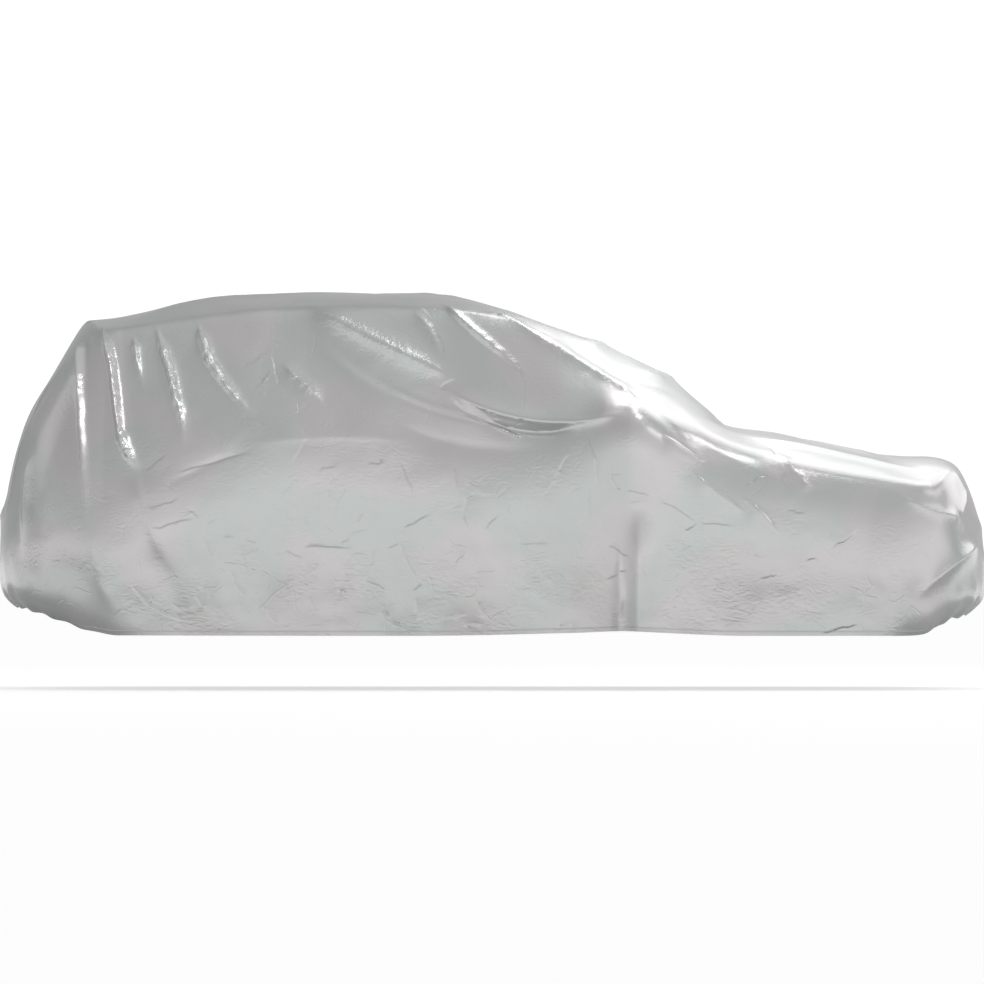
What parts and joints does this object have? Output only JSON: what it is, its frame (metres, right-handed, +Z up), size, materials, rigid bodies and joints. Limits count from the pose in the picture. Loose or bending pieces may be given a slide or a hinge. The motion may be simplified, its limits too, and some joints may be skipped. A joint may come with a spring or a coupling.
{
  "type": "car cover",
  "caption": "Fitted cover of thin silver film cloth, draped in folds over the form of a tall hatchback-like car, hollow and open below, with an elastic hem drawn in at both ends.",
  "frame": {"origin": "under the cloth at the highest place of the roof, on the middle plane, where the car's roof carries the cover", "axes": "+X along the length to the bonnet end, +Y to the side away from the picture, +Z up"},
  "size_m": [4.1934, 1.915, 1.4535],
  "materials": {
    "silver_film": "thin silver film cloth, satin, finely crinkled"
  },
  "bodies": {
    "root": {"cover": "silver_film"}
  },
  "joints": []
}
